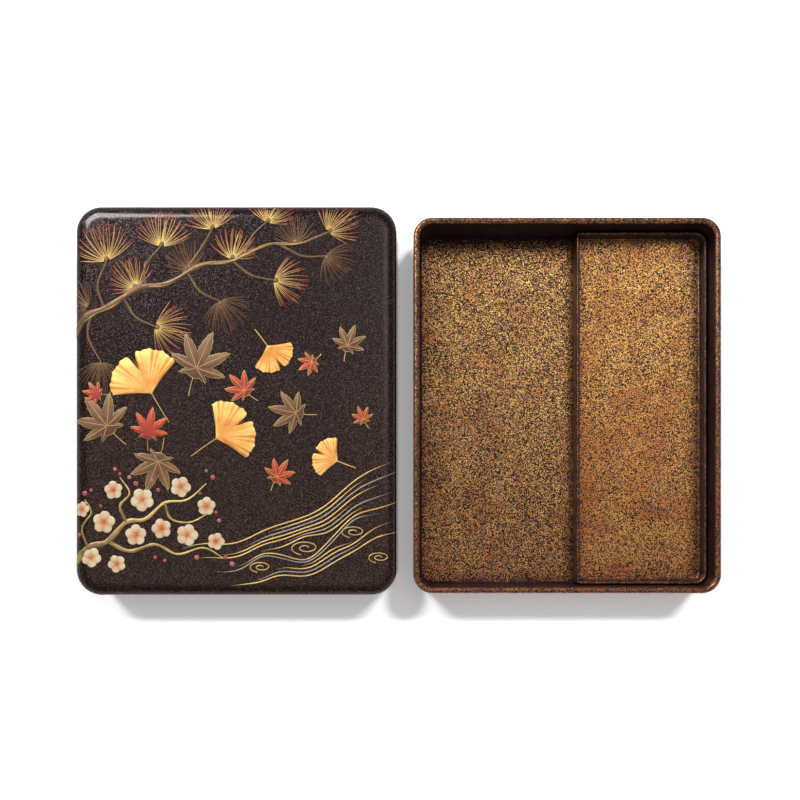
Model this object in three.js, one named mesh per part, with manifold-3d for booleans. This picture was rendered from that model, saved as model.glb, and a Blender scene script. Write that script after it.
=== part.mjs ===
// A lacquered writing box: a box, a shallow tray that lifts out of its right side, and an overlapping lid
// that lies face up beside it. Every wall is four boards, mitred through the rounded corners.
// Millimetres, +Z up. The origin is the centre of the box's underside, +X runs right and +Y to the back.
import * as THREE from "three";
import { mergeVertices } from "three/addons/utils/BufferGeometryUtils.js";
import Module from "manifold-3d";

const wasm = await Module();
wasm.setup();

// Box
const BOX_WIDTH = 193;
const BOX_LENGTH = 235.7;
const BOX_HEIGHT = 43;
const BOX_WALL = 4;
const BOX_BOTTOM = 3.5;
const BOX_CORNER = 12;
const BOX_REBATE = 2; // how far the bottom board reaches in under the walls
const BOX_FOOT_EDGE = 1; // rounding of the lower outer edge
const BOX_COVE = 1; // hollow rounding where the walls meet the floor

// Lid
const LID_WALL = 3.4;
const LID_TOP = 4; // thickness of the top board at its edge, before the crown
const LID_CROWN = 1;
const LID_SHOULDER_WIDTH = 9;
const LID_SHOULDER_DROP = 4.5;
const LID_CLEARANCE = 0.5; // between the lid's walls and the box's, all round
const LID_REVEAL = 2.5; // how much of the box shows under the closed lid
const LID_STEP = 1; // how far the top board drops in between the lid's walls
const LID_RIM_EDGE = 0.8; // rounding of the lid's lower edge
const LID_GAP = 10.6; // between the box and the lid that lies beside it
const LID_FORWARD = 1; // how far the lid's front stands before the box's

// Tray
const TRAY_WIDTH = 84;
const TRAY_HEIGHT = 21;
const TRAY_DEPTH = 11.5; // from the tray's rim to its floor
const TRAY_WALL = 2;
const TRAY_BOTTOM = 2;
const TRAY_GROOVE = 1; // depth of the groove that houses the tray's bottom board
const TRAY_CLEARANCE = 0.5; // between the tray and the box's walls
const TRAY_INNER_CORNER = 1.5; // the two corners that stand free in the box
const TRAY_FOOT_EDGE = 1.2; // chamfer that clears the box's cove

// Joinery
const GLUE_LINE = 0.15;
const SEAT_GAP = 0.2; // between the tray's foot and the box's floor
const SPLINE_WIDTH = 5; // across the mitre
const SPLINE_WALL_SHARE = 0.3; // a spline's thickness, as a share of the wall that holds it
const SPLINE_END_MARGIN = 4; // wood left above and below a spline
const SHARPEST_CORNER = 1; // inside corners are never sharper than this

// Fineness of the facets
const CORNER_STEPS = 12; // an even number, so that a mitre falls on a step
const RIM_STEPS = 8;
const EDGE_STEPS = 3;
const COVE_STEPS = 4;
const SHOULDER_STEPS = 8;
const CROWN_LOOPS = 5;
const CROWN_SIDE_STEPS = 6; // along a straight side of the crowned board

const lacquer = {
  box: new THREE.MeshStandardMaterial({ color: 0x7d5830, roughness: 0.32, metalness: 0.25 }),
  lid: new THREE.MeshStandardMaterial({ color: 0x2c2422, roughness: 0.35, metalness: 0.05 }),
  tray: new THREE.MeshStandardMaterial({ color: 0x8f6234, roughness: 0.32, metalness: 0.25 }),
};
const bareWood = new THREE.MeshStandardMaterial({ color: 0xc8a878, roughness: 0.7, metalness: 0 });

// The four corners in the order that a walk round the outline, anticlockwise from above, meets them.
const CORNERS = [
  { name: "front_left", x: -1, y: -1, start: Math.PI },
  { name: "front_right", x: 1, y: -1, start: 1.5 * Math.PI },
  { name: "back_right", x: 1, y: 1, start: 0 },
  { name: "back_left", x: -1, y: 1, start: 0.5 * Math.PI },
];
const SIDES = ["front", "right", "back", "left"]; // SIDES[k] runs from CORNERS[k] to the next one

const centredOutline = (width, length, radius) => ({
  left: -width / 2,
  right: width / 2,
  front: -length / 2,
  back: length / 2,
  radii: [radius, radius, radius, radius],
});

// The corner's arc when the outline is moved inwards by inset.
function cornerArc(outline, index, inset) {
  const corner = CORNERS[index % 4];
  const radius = Math.max(outline.radii[index % 4] - inset, SHARPEST_CORNER);
  const edgeX = corner.x < 0 ? outline.left : outline.right;
  const edgeY = corner.y < 0 ? outline.front : outline.back;
  return {
    x: edgeX - corner.x * (inset + radius),
    y: edgeY - corner.y * (inset + radius),
    radius,
    start: corner.start,
    middle: corner.start + 0.25 * Math.PI,
  };
}

function arcPoint(arc, step) {
  const angle = arc.start + (step / CORNER_STEPS) * 0.5 * Math.PI;
  return new THREE.Vector2(arc.x + arc.radius * Math.cos(angle), arc.y + arc.radius * Math.sin(angle));
}

function arcPoints(arc, from, to) {
  return Array.from({ length: to - from + 1 }, (_, step) => arcPoint(arc, from + step));
}

// The closed outline at an inset, with each of its straight sides in sideSteps.
function outlineLoop(outline, inset, sideSteps = 1) {
  return CORNERS.flatMap((corner, index) => {
    const turn = arcPoints(cornerArc(outline, index, inset), 0, CORNER_STEPS);
    const from = turn[CORNER_STEPS];
    const to = arcPoint(cornerArc(outline, index + 1, inset), 0);
    const side = Array.from({ length: sideSteps - 1 }, (_, step) =>
      from.clone().lerp(to, (step + 1) / sideSteps),
    );
    return [...turn, ...side];
  });
}

// The stretch of the outline that one wall board covers, from mitre to mitre. It stops short of each mitre
// by half a glue line.
function boardPath(outline, side, inset) {
  const first = cornerArc(outline, side, inset);
  const last = cornerArc(outline, side + 1, inset);
  const points = [
    ...arcPoints(first, CORNER_STEPS / 2, CORNER_STEPS),
    ...arcPoints(last, 0, CORNER_STEPS / 2),
  ];
  const along = (arc) => new THREE.Vector2(-Math.sin(arc.middle), Math.cos(arc.middle));
  points[0].addScaledVector(along(first), GLUE_LINE / 2);
  points[points.length - 1].addScaledVector(along(last), -GLUE_LINE / 2);
  return points;
}

function geometryOf(vertices, triangles) {
  const geometry = new THREE.BufferGeometry();
  geometry.setAttribute("position", new THREE.Float32BufferAttribute(vertices.flat(), 3));
  geometry.setIndex(triangles.flat());
  return geometry;
}

// Flat triangles that fill a closed polygon, anticlockwise.
function fill(polygon) {
  return THREE.ShapeUtils.triangulateShape(polygon, []).map(([a, b, c]) => {
    const ab = polygon[b].clone().sub(polygon[a]);
    const ac = polygon[c].clone().sub(polygon[a]);
    return ab.cross(ac) < 0 ? [a, c, b] : [a, b, c];
  });
}

// The skin between rings of equal count that lie one after another in a list of vertices.
function skin(rings, count) {
  const triangles = [];
  for (let ring = 0; ring < rings - 1; ring++) {
    for (let k = 0; k < count; k++) {
      const a = ring * count + k;
      const b = ring * count + ((k + 1) % count);
      triangles.push([a, b, b + count], [a, b + count, a + count]);
    }
  }
  return triangles;
}

// A skin closed by a flat cap on its first and its last ring.
function cappedSkin(rings, count, firstPolygon, lastPolygon) {
  const end = (rings - 1) * count;
  return [
    ...skin(rings, count),
    ...fill(firstPolygon).map(([a, b, c]) => [a, c, b]),
    ...fill(lastPolygon).map(([a, b, c]) => [end + a, end + b, end + c]),
  ];
}

// One wall board, swept from mitre to mitre. Its section is a list of [inset, height] points,
// anticlockwise where insets grow to the right.
function wallBoard(outline, side, section) {
  const paths = section.map(([inset]) => boardPath(outline, side, inset));
  const steps = paths[0].length;
  const vertices = paths[0].flatMap((_, step) =>
    section.map(([, height], k) => [paths[k][step].x, paths[k][step].y, height]),
  );
  const polygon = section.map(([inset, height]) => new THREE.Vector2(inset, height));
  return geometryOf(vertices, cappedSkin(steps, section.length, polygon, polygon));
}

// A solid stacked from loops of equal count, lowest first. A loop is its points and a height for each.
function stackedSolid(loops) {
  const vertices = loops.flatMap(({ points, height }) =>
    points.map((point) => [point.x, point.y, height(point)]),
  );
  const lowest = loops[0].points;
  const highest = loops[loops.length - 1].points;
  return geometryOf(vertices, cappedSkin(loops.length, lowest.length, lowest, highest));
}

const level = (points, height) => ({ points, height: () => height });

function flatBoard(outline, inset, low, high) {
  const points = outlineLoop(outline, inset);
  return stackedSolid([level(points, low), level(points, high)]);
}

function solidOf(geometry) {
  const bare = geometry.clone();
  bare.deleteAttribute("normal");
  bare.deleteAttribute("uv");
  const merged = mergeVertices(bare);
  return new wasm.Manifold(
    new wasm.Mesh({
      numProp: 3,
      vertProperties: merged.attributes.position.array,
      triVerts: new Uint32Array(merged.index.array),
    }),
  );
}

function geometryFrom(solid) {
  const mesh = solid.getMesh();
  const geometry = new THREE.BufferGeometry();
  geometry.setAttribute("position", new THREE.BufferAttribute(mesh.vertProperties, 3));
  geometry.setIndex(new THREE.BufferAttribute(mesh.triVerts, 1));
  return geometry;
}

function cut(geometry, tools) {
  return geometryFrom(tools.reduce((solid, tool) => solid.subtract(solidOf(tool)), solidOf(geometry)));
}

// The slip of wood that keys a mitre, or with an allowance the mortise that it sits in.
function splineBlock(outline, corner, { wall, low, high }, allowance = 0) {
  const arc = cornerArc(outline, corner, 0);
  const reach = arc.radius - wall / 2;
  const block = new THREE.BoxGeometry(
    wall * SPLINE_WALL_SHARE + 2 * allowance,
    SPLINE_WIDTH + 2 * allowance,
    high - low + 2 * allowance,
  );
  block.rotateZ(arc.middle);
  const x = arc.x + reach * Math.cos(arc.middle);
  const y = arc.y + reach * Math.sin(arc.middle);
  block.translate(x, y, (low + high) / 2);
  return block;
}

// Points of an arc in a section, from one angle to another in degrees.
function sectionArc(inset, height, radius, fromDegrees, toDegrees, steps) {
  return Array.from({ length: steps + 1 }, (_, step) => {
    const angle = THREE.MathUtils.degToRad(THREE.MathUtils.lerp(fromDegrees, toDegrees, step / steps));
    return [inset + radius * Math.cos(angle), height + radius * Math.sin(angle)];
  });
}

function named(name, geometry, material) {
  const mesh = new THREE.Mesh(geometry, material.clone());
  mesh.name = name;
  return mesh;
}

// Four mitred boards.
function wallFrame(prefix, outline, section, material) {
  const frame = new THREE.Group();
  SIDES.forEach((side, index) => {
    frame.add(named(`${prefix}_wall_${side}`, wallBoard(outline, index, section), material));
  });
  return frame;
}

// Four mitred boards, each pair keyed by a spline in a mortise that is cut into both.
function keyedWallFrame(prefix, outline, section, material, spline) {
  const frame = wallFrame(prefix, outline, section, material);
  frame.children.forEach((board, index) => {
    const mortises = [index, index + 1].map((corner) => splineBlock(outline, corner, spline, GLUE_LINE));
    board.geometry = cut(board.geometry, mortises);
  });
  CORNERS.forEach((corner, index) => {
    frame.add(named(`${prefix}_spline_${corner.name}`, splineBlock(outline, index, spline), bareWood));
  });
  return frame;
}

function makeBox() {
  const outline = centredOutline(BOX_WIDTH, BOX_LENGTH, BOX_CORNER);
  const wallFoot = BOX_BOTTOM + GLUE_LINE;
  const rebate = BOX_WALL - BOX_REBATE;
  const rim = BOX_WALL / 2;
  const section = [
    ...sectionArc(BOX_FOOT_EDGE, BOX_FOOT_EDGE, BOX_FOOT_EDGE, 180, 270, EDGE_STEPS),
    [rebate, 0],
    [rebate, wallFoot],
    ...sectionArc(BOX_WALL + BOX_COVE, wallFoot + BOX_COVE, BOX_COVE, 270, 180, COVE_STEPS),
    ...sectionArc(rim, BOX_HEIGHT - rim, rim, 0, 180, RIM_STEPS),
  ];
  const spline = {
    wall: BOX_WALL,
    low: wallFoot + SPLINE_END_MARGIN,
    high: BOX_HEIGHT - BOX_WALL - SPLINE_END_MARGIN,
  };
  const box = keyedWallFrame("box", outline, section, lacquer.box, spline);
  box.add(named("box_bottom_board", flatBoard(outline, rebate + GLUE_LINE, 0, BOX_BOTTOM), lacquer.box));
  return box;
}

const lidWidth = BOX_WIDTH + 2 * (LID_CLEARANCE + LID_WALL);
const lidLength = BOX_LENGTH + 2 * (LID_CLEARANCE + LID_WALL);
const lidCorner = BOX_CORNER + LID_CLEARANCE + LID_WALL;
const lidDepth = BOX_HEIGHT - LID_REVEAL;
const lidWallTop = lidDepth + LID_STEP;
const lidEdgeHeight = lidDepth + LID_TOP;
const shoulderStart = lidEdgeHeight - LID_SHOULDER_DROP;

// How far the lid's rounded shoulder has drawn in at a height.
function shoulderInset(height) {
  const rise = THREE.MathUtils.clamp((height - shoulderStart) / LID_SHOULDER_DROP, 0, 1);
  return LID_SHOULDER_WIDTH * (1 - Math.sqrt(1 - rise * rise));
}

// The outer face of a lid wall from its top down to where the shoulder starts, if the wall reaches that
// high.
function wallShoulder() {
  if (lidWallTop <= shoulderStart) return [[0, lidWallTop]];
  const heights = [lidWallTop, (lidWallTop + shoulderStart) / 2, shoulderStart];
  return heights.map((height) => [shoulderInset(height), height]);
}

// The lid's top: a panel that drops in between the walls, a rounded shoulder and a gently crowned face.
function crownedBoard(outline) {
  const seat = lidWallTop + GLUE_LINE;
  const loop = (inset) => outlineLoop(outline, inset, CROWN_SIDE_STEPS);
  const panel = loop(LID_WALL + GLUE_LINE);
  const seatAngle = Math.asin(Math.max(seat - shoulderStart, 0) / LID_SHOULDER_DROP);
  const shoulder = Array.from({ length: SHOULDER_STEPS + 1 }, (_, step) => {
    const angle = THREE.MathUtils.lerp(seatAngle, Math.PI / 2, step / SHOULDER_STEPS);
    const inset = LID_SHOULDER_WIDTH * (1 - Math.cos(angle));
    return level(loop(inset), shoulderStart + LID_SHOULDER_DROP * Math.sin(angle));
  });
  const halfWidth = outline.right - LID_SHOULDER_WIDTH;
  const halfLength = outline.back - LID_SHOULDER_WIDTH;
  const crownHeight = ({ x, y }) =>
    lidEdgeHeight + LID_CROWN * (1 - (x / halfWidth) ** 2) * (1 - (y / halfLength) ** 2);
  const crown = Array.from({ length: CROWN_LOOPS }, (_, step) => {
    const share = 1 - (step + 1) / (CROWN_LOOPS + 1);
    const points = loop(LID_SHOULDER_WIDTH).map((point) => point.multiplyScalar(share));
    return { points, height: crownHeight };
  });
  return stackedSolid([level(panel, lidDepth), level(panel, seat), ...shoulder, ...crown]);
}

function makeLid() {
  const outline = centredOutline(lidWidth, lidLength, lidCorner);
  const section = [
    ...sectionArc(LID_RIM_EDGE, LID_RIM_EDGE, LID_RIM_EDGE, 180, 270, EDGE_STEPS),
    ...sectionArc(LID_WALL - LID_RIM_EDGE, LID_RIM_EDGE, LID_RIM_EDGE, 270, 360, EDGE_STEPS),
    [LID_WALL, lidWallTop],
    ...wallShoulder(),
  ];
  const spline = { wall: LID_WALL, low: SPLINE_END_MARGIN, high: shoulderStart - SPLINE_END_MARGIN };
  const lid = keyedWallFrame("lid", outline, section, lacquer.lid, spline);
  lid.add(named("lid_top_board", crownedBoard(outline), lacquer.lid));
  const across = -(BOX_WIDTH / 2 + LID_GAP + lidWidth / 2);
  lid.position.set(across, (lidLength - BOX_LENGTH) / 2 - LID_FORWARD, 0);
  return lid;
}

function makeTray() {
  const right = BOX_WIDTH / 2 - BOX_WALL - TRAY_CLEARANCE;
  const reach = BOX_LENGTH / 2 - BOX_WALL - TRAY_CLEARANCE;
  const fitted = BOX_CORNER - BOX_WALL - TRAY_CLEARANCE;
  const outline = {
    left: right - TRAY_WIDTH,
    right,
    front: -reach,
    back: reach,
    radii: [TRAY_INNER_CORNER, fitted, fitted, TRAY_INNER_CORNER],
  };
  const foot = BOX_BOTTOM + SEAT_GAP;
  const top = foot + TRAY_HEIGHT;
  const floor = top - TRAY_DEPTH;
  const groove = TRAY_WALL - TRAY_GROOVE;
  const grooveLow = floor - TRAY_BOTTOM - GLUE_LINE;
  const grooveHigh = floor + GLUE_LINE;
  const rim = TRAY_WALL / 2;
  const section = [
    [0, foot + TRAY_FOOT_EDGE],
    [TRAY_FOOT_EDGE, foot],
    [TRAY_WALL, foot],
    [TRAY_WALL, grooveLow],
    [groove, grooveLow],
    [groove, grooveHigh],
    [TRAY_WALL, grooveHigh],
    ...sectionArc(rim, top - rim, rim, 0, 180, RIM_STEPS),
  ];
  const tray = wallFrame("tray", outline, section, lacquer.tray);
  const bottom = flatBoard(outline, groove + GLUE_LINE, floor - TRAY_BOTTOM, floor);
  tray.add(named("tray_bottom_board", bottom, lacquer.tray));
  return tray;
}

const writingBox = new THREE.Group();
writingBox.add(makeBox(), makeTray(), makeLid());

export default writingBox;
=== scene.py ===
"""The looks of a lacquered writing box: the open box, its loose tray and the lid that lies beside it."""

import math

import bpy
import numpy as np
from bpy.props import FloatProperty, FloatVectorProperty, PointerProperty
from bpy.types import Operator, Panel, PropertyGroup
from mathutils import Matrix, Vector


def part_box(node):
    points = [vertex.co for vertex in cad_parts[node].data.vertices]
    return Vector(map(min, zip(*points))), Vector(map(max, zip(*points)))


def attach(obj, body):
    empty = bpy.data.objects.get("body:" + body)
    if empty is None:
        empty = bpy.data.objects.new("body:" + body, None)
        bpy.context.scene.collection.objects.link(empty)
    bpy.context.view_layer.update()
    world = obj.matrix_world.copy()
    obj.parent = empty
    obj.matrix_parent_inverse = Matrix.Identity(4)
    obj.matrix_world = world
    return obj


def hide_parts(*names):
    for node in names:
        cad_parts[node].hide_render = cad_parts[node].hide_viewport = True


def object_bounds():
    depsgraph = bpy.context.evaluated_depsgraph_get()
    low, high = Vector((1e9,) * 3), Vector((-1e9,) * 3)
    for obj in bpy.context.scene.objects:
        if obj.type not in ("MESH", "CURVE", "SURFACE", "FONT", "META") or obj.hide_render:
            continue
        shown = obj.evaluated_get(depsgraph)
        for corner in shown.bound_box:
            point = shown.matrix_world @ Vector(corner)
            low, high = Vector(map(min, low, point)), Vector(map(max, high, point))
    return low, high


bl_info = {
    "name": "Lacquered Writing Box",
    "version": (1, 0, 0),
    "blender": (4, 5, 0),
    "location": "View3D > Sidebar > Writing Box",
    "description": "Lacquers a writing box, its tray and its lid, and sets them on a pale floor",
    "category": "Object",
}

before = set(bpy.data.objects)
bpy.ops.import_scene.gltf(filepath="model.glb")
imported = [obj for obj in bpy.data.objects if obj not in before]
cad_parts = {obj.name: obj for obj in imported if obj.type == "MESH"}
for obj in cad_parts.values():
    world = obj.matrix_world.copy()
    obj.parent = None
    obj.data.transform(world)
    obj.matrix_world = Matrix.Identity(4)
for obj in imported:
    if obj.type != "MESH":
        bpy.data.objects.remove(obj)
CAD_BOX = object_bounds()

MM = 0.001
SIDES = ("front", "right", "back", "left")
CORNERS = ("front_left", "front_right", "back_right", "back_left")
BOX_NODES = [f"box_wall_{side}" for side in SIDES] + [f"box_spline_{corner}" for corner in CORNERS]
LID_NODES = [f"lid_wall_{side}" for side in SIDES] + [f"lid_spline_{corner}" for corner in CORNERS]
TRAY_NODES = [f"tray_wall_{side}" for side in SIDES]


# Settings that a user would change

def length(name, millimetres, description):
    """A size property, given in millimetres and held in metres."""
    return FloatProperty(
        name=name,
        description=description,
        default=millimetres * MM,
        min=0,
        precision=4,
        unit="LENGTH",
        subtype="DISTANCE",
    )


def share(name, value, description):
    """A property between 0 and 1."""
    return FloatProperty(name=name, description=description, default=value, min=0, max=1, subtype="FACTOR")


def power(name, watts, description):
    """A lamp's power."""
    return FloatProperty(name=name, description=description, default=watts, min=0, unit="POWER")


def linear(red, green, blue):
    """A colour as the eye reads it from 0 to 255, in the linear values that Blender works in."""
    parts = [channel / 255 for channel in (red, green, blue)]
    return tuple(p / 12.92 if p <= 0.04045 else ((p + 0.055) / 1.055) ** 2.4 for p in parts)


def colour(name, seen, description):
    """A colour property, given as it looks from 0 to 255."""
    return FloatVectorProperty(
        name=name, description=description, default=linear(*seen), min=0, max=1, size=3, subtype="COLOR"
    )


class BoxSizes(PropertyGroup):
    """Sizes of the lacquered box"""

    wall: length("Wall", 4, "Thickness of the box's walls, rounded over at the rim")
    corner: length("Corner", 12, "Outer radius of the four corners")
    foot: length("Foot edge", 1, "Rounding of the lower outer edge")
    cove: length("Cove", 1, "Hollow rounding between walls and floor")
    coat: length("Coat", 0.1, "Lacquer on top of the bottom board")


class TraySizes(PropertyGroup):
    """Sizes of the lacquered tray"""

    wall: length("Wall", 2, "Thickness of the tray's walls, rounded over at the rim")
    free_corner: length("Free corner", 1.5, "Outer radius of the two corners that stand free in the box")
    fitted_corner: length("Fitted corner", 7.5, "Outer radius of the two corners that fit the box's own")
    foot: length("Foot edge", 1.2, "Bevel of the lower outer edge")
    cove: length("Cove", 1.6, "Hollow rounding between walls and floor")


class LidSizes(PropertyGroup):
    """Sizes of the lacquered lid"""

    wall: length("Wall", 3.4, "Thickness of the lid's walls")
    corner: length("Corner", 15.9, "Outer radius of the four corners")
    rim: length("Rim edge", 0.8, "Rounding of the lower edge")
    cove: length("Cove", 1.5, "Hollow rounding between the walls and the underside of the top")
    crown: length("Crown", 1, "How far the middle of the top stands above its edge")
    shoulder_width: length("Shoulder width", 9, "How far in from the side the rounded shoulder reaches")
    shoulder_drop: length("Shoulder drop", 4.5, "How far down the side the rounded shoulder reaches")


class ReliefSizes(PropertyGroup):
    """Heights and widths of the raised design on the lid"""

    line: length("Line height", 0.2, "Height of the fine gold lines")
    needle: length("Needle width", 0.62, "Width of a pine needle at its root")
    leaf: length("Leaf height", 0.5, "Height of a leaf over the lid")
    petal: length("Petal height", 0.45, "Height of a blossom over the lid")
    branch: length("Branch height", 0.7, "Height of the pine's limb over the lid")
    sunk: length("Sunk", 0.08, "How deep the design's underside lies in the lid's lacquer")


class Colours(PropertyGroup):
    """Colours of the lacquers and metal powders"""

    ground: colour("Ground", (24, 10, 6), "Amber lacquer between the gold flakes")
    slate: colour("Slate", (42, 24, 34), "Ground where it shows violet through the lacquer")
    black: colour("Black", (26, 11, 13), "Brown-black lacquer of walls and lid")
    gold: colour("Gold", (252, 212, 122), "Bright gold flakes")
    old_gold: colour("Old gold", (196, 142, 66), "Deeper gold flakes under the lacquer")
    copper: colour("Copper", (188, 98, 46), "Reddish gold where the lacquer is thick")
    pewter: colour("Pewter", (136, 124, 120), "Fine powder on the lid")
    line_gold: colour("Line gold", (206, 178, 108), "Fine raised lines and needles")
    # This orange is painted shade in the hollows between the ribs of gold leaves
    leaf_gold: colour("Leaf gold", (206, 116, 32), "Hollows of gold leaves")
    brown: colour("Brown", (74, 46, 30), "Limbs, and the hearts of brown leaves")
    bronze: colour("Bronze", (116, 86, 56), "Tips of brown leaves")
    red: colour("Red", (138, 30, 20), "Hearts of red leaves, tips of needles, and buds")
    scarlet: colour("Scarlet", (186, 52, 26), "Tips of red leaves")
    cream: colour("Cream", (206, 194, 158), "Blossoms")
    pink: colour("Pink", (168, 96, 88), "Buds and berries")
    silver: colour("Silver", (140, 132, 130), "Silver lines of the stream")


class Studio(PropertyGroup):
    """Camera and lamps"""

    camera_height: length("Camera height", 730.3, "Height of the camera over the floor")
    lens: FloatProperty(name="Lens", description="Focal length in mm", default=49.45, min=1, unit="CAMERA")
    left_lamp: power("Left lamp", 205, "Power of the high lamp on the left")
    right_lamp: power("Right lamp", 215, "Power of the high lamp on the right")
    low_lamp: power("Low lamp", 50, "Power of the low lamp that gleams on the lid's shoulder")
    sky: FloatProperty(name="Sky", description="Brightness of the room overhead", default=0.56, min=0)
    floor: share("Floor", 0.88, "Paleness of the floor")


class WritingBoxSettings(PropertyGroup):
    """All settings of the writing box"""

    box: PointerProperty(type=BoxSizes, name="Box")
    tray: PointerProperty(type=TraySizes, name="Tray")
    lid: PointerProperty(type=LidSizes, name="Lid")
    relief: PointerProperty(type=ReliefSizes, name="Relief")
    colours: PointerProperty(type=Colours, name="Colours")
    studio: PointerProperty(type=Studio, name="Studio")


def span(nodes):
    """Lowest and highest corner of a group of frame nodes."""
    corners = [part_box(node) for node in nodes]
    low = Vector(min(corner[0][axis] for corner in corners) for axis in range(3))
    high = Vector(max(corner[1][axis] for corner in corners) for axis in range(3))
    return low, high


# Meshes

CORNER_STEPS = 16
SUPPORT = 0.35 * MM  # how close a loop stands to the end of a rounding, to keep the flat beside it flat
SHARPEST = 1 * MM


def rounded_loop(low, high, radii, inset):
    """Points of a rounded rectangle moved inwards by inset, anticlockwise from the front left corner."""
    centres = ((1, 1, math.pi), (-1, 1, 1.5 * math.pi), (-1, -1, 0), (1, -1, 0.5 * math.pi))
    edges = ((low.x, low.y), (high.x, low.y), (high.x, high.y), (low.x, high.y))
    turns = []
    for (way_x, way_y, start), (edge_x, edge_y), outer in zip(centres, edges, radii):
        radius = max(outer - inset, SHARPEST)
        angles = start + np.linspace(0, math.pi / 2, CORNER_STEPS + 1)
        x = edge_x + way_x * (inset + radius) + radius * np.cos(angles)
        y = edge_y + way_y * (inset + radius) + radius * np.sin(angles)
        turns.append(np.stack([x, y], axis=1))
    loop = []
    for turn, following in zip(turns, turns[1:] + turns[:1]):
        side = following[0] - turn[-1]
        nudge = side / np.linalg.norm(side) * SUPPORT
        between = [turn[-1] + side * part for part in (0.2, 0.4, 0.6, 0.8)]
        loop.append(np.vstack([turn, turn[-1] + nudge, between, following[0] - nudge]))
    return np.vstack(loop)


def arc(inset, height, radius, start, end, steps, rise=None):
    """Points of an arc in a section, from one angle in degrees to another. Rise is its upright radius."""
    angles = np.radians(np.linspace(start, end, steps + 1))
    rise = radius if rise is None else rise
    return [(inset + radius * math.cos(a), height + rise * math.sin(a)) for a in angles]


def inner_side(sizes, top, floor, steps):
    """Section of a wall's inner side, down from the rim and through the cove to the floor."""
    flat = sizes.wall + sizes.cove
    return [(sizes.wall, top), *arc(flat, floor + sizes.cove, sizes.cove, 180, 270, steps)]


def supported(section):
    """The section with a point added near both ends of each long straight."""
    points = [section[0]]
    for here, there in zip(section, section[1:]):
        gap = math.dist(here, there)
        if gap > 4 * SUPPORT:
            for part in (SUPPORT / gap, 1 - SUPPORT / gap):
                points.append(tuple(h + (t - h) * part for h, t in zip(here, there)))
        points.append(there)
    return points


def add_object(name, vertices, faces, materials, tones=None, coats=None, sharp=40):
    """A smooth-shaded mesh object. Tones go to its vertices, coats say which material each face has."""
    mesh = bpy.data.meshes.new(name)
    mesh.from_pydata([tuple(v) for v in vertices], [], [tuple(f) for f in faces])
    mesh.validate()
    if tones is not None:
        attribute = mesh.attributes.new("tone", "FLOAT", "POINT")
        attribute.data.foreach_set("value", np.asarray(tones, np.float32))
    mesh.polygons.foreach_set("use_smooth", [True] * len(mesh.polygons))
    mesh.set_sharp_from_angle(angle=math.radians(sharp))
    for material in materials:
        mesh.materials.append(material)
    if coats is not None:
        mesh.polygons.foreach_set("material_index", coats)
    piece = bpy.data.objects.new(name, mesh)
    bpy.context.scene.collection.objects.link(piece)
    return piece


def strip(loops, count):
    """Four-sided faces between loops of count points that follow each other."""
    for start in range(0, (loops - 1) * count, count):
        for k in range(count):
            a = start + k
            b = start + (k + 1) % count
            yield a, b, b + count, a + count


def lacquer_skin(name, outline, rings, materials):
    """A closed skin through loops of an outline. A ring is (inset, height, size, tone, which material)."""
    low, high, radii = outline
    centre = np.array([(low.x + high.x) / 2, (low.y + high.y) / 2])
    vertices = []
    tones = []
    for inset, height, size, tone, coat in rings:
        loop = (rounded_loop(low, high, radii, inset) - centre) * size + centre
        heights = height(loop) if callable(height) else np.full(len(loop), height)
        vertices.append(np.column_stack([loop, heights]))
        tones += [tone] * len(loop)
    count = len(vertices[0])
    vertices = np.vstack(vertices)
    faces = list(strip(len(rings), count))
    coats = [ring[4] for ring in rings[1:] for _ in range(count)]
    for ring, turn in ((0, -1), (len(rings) - 1, 1)):
        coats += [rings[ring][4]] * count
        height = rings[ring][1]
        middle = height(centre[None])[0] if callable(height) else height
        hub = len(vertices)
        vertices = np.vstack([vertices, [*centre, middle]])
        tones.append(rings[ring][3])
        for k in range(count):
            a = ring * count + k
            b = ring * count + (k + 1) % count
            faces.append((a, b, hub)[::turn])
    return add_object(name, vertices, faces, materials, tones, coats)


JUST_INSIDE = 0.999
FLAT_SHARES = (0.985, 0.96, 0.9, 0.75, 0.5, 0.25)
# How much of the edge's painted shade is left in each ring of a flat
EDGE_SHADE_FADE = (0.8, 0.45, 0.1, 0, 0, 0)


def flat_rings(inset, height, tone, coat, inwards, shaded_edge_tone=None):
    """Rings that fill a flat from its edge at an inset to its middle, or from the middle out. A tone given
    for the edge fades to the flat's own tone ring by ring, which paints shade along the walls.
    """
    change = 0 if shaded_edge_tone is None else shaded_edge_tone - tone
    rings = [(inset, height, size, tone + change * fade, coat) for size, fade in zip(FLAT_SHARES, EDGE_SHADE_FADE)]
    return rings if inwards else rings[::-1]


def floor_rings(inset, height, tone, shaded_edge_tone, coat):
    """Rings of a sprinkled floor, with a first one so close to its edge that its coat starts sharply. Its
    lower tone at the edge paints shade along the walls.
    """
    edge = (inset, height, JUST_INSIDE, shaded_edge_tone, coat)
    return [edge, *flat_rings(inset, height, tone, coat, inwards=True, shaded_edge_tone=shaded_edge_tone)]


def section_rings(section, tone, coat):
    return [(inset, height, 1, tone, coat) for inset, height in supported(section)]


# Materials

FINE_FLAKE = 0.54 * MM
COARSE_FLAKE = 0.7 * MM
WALL_FLAKE = 0.8 * MM
LID_GRAIN = 0.48 * MM
DUST_GRAIN = 0.4 * MM
# The change towards the front is partly painted shade.
DEPTH_OF_CHANGE = 90 * MM  # how far from its middle a piece's lacquer goes on changing
FLAKE_BUMP = 0.05 * MM
DUST_BUMP = 0.04 * MM


def fill(tree, made, inputs):
    """Sets or links a node's inputs by name or number."""
    for key, value in inputs.items():
        if isinstance(value, bpy.types.NodeSocket):
            tree.links.new(value, made.inputs[key])
        else:
            made.inputs[key].default_value = value


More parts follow.
